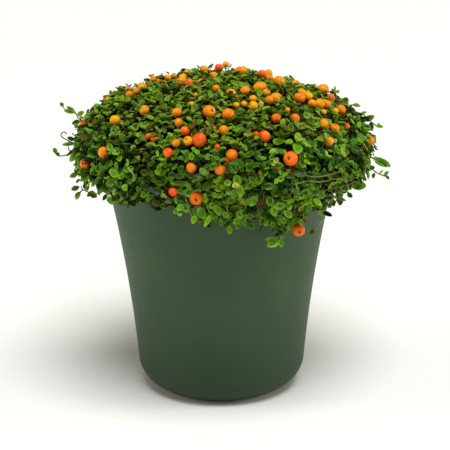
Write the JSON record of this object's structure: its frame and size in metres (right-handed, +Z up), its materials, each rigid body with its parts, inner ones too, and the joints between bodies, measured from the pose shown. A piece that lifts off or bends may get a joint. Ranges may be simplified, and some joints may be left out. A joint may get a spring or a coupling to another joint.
{
  "type": "potted plant",
  "caption": "Dense domed mat of tiny round leaves with small orange berries, growing over the rim of a plain flared pot.",
  "frame": {"origin": "centre of the pot's flat foot, on the surface that it stands on", "axes": "+Z up along the pot's axis, -Y towards the front of the plant"},
  "size_m": [0.1806, 0.1541, 0.1682],
  "materials": {
    "pot": "matte",
    "soil": "rough crumb",
    "leaf": "satin",
    "stem": "satin",
    "berry": "waxy"
  },
  "bodies": {
    "root": {"fruiting_stem_back": "berry", "fruiting_stem_back_left": "berry", "fruiting_stem_back_right": "berry", "fruiting_stem_front": "berry", "fruiting_stem_front_left": "berry", "fruiting_stem_front_middle": "berry", "fruiting_stem_front_right": "berry", "fruiting_stem_hanging": "berry", "fruiting_stem_left": "berry", "fruiting_stem_left_low": "berry", "fruiting_stem_right": "berry", "fruiting_stem_right_back": "berry", "fruiting_stem_right_low": "berry", "fruiting_stem_top": "berry", "fruiting_stem_top_right": "berry", "leaf_mat": "leaf", "pot": "pot", "soil": "soil", "stray_stem_back_left": "stem", "stray_stem_back_right": "stem", "stray_stem_front": "stem", "stray_stem_front_left": "stem", "stray_stem_front_pale": "stem", "stray_stem_front_right": "stem", "stray_stem_left_curl": "stem", "stray_stem_left_low": "stem", "stray_stem_left_top": "stem", "stray_stem_right_low": "stem", "stray_stem_right_spear": "stem", "stray_stem_right_top": "stem"}
  },
  "joints": []
}
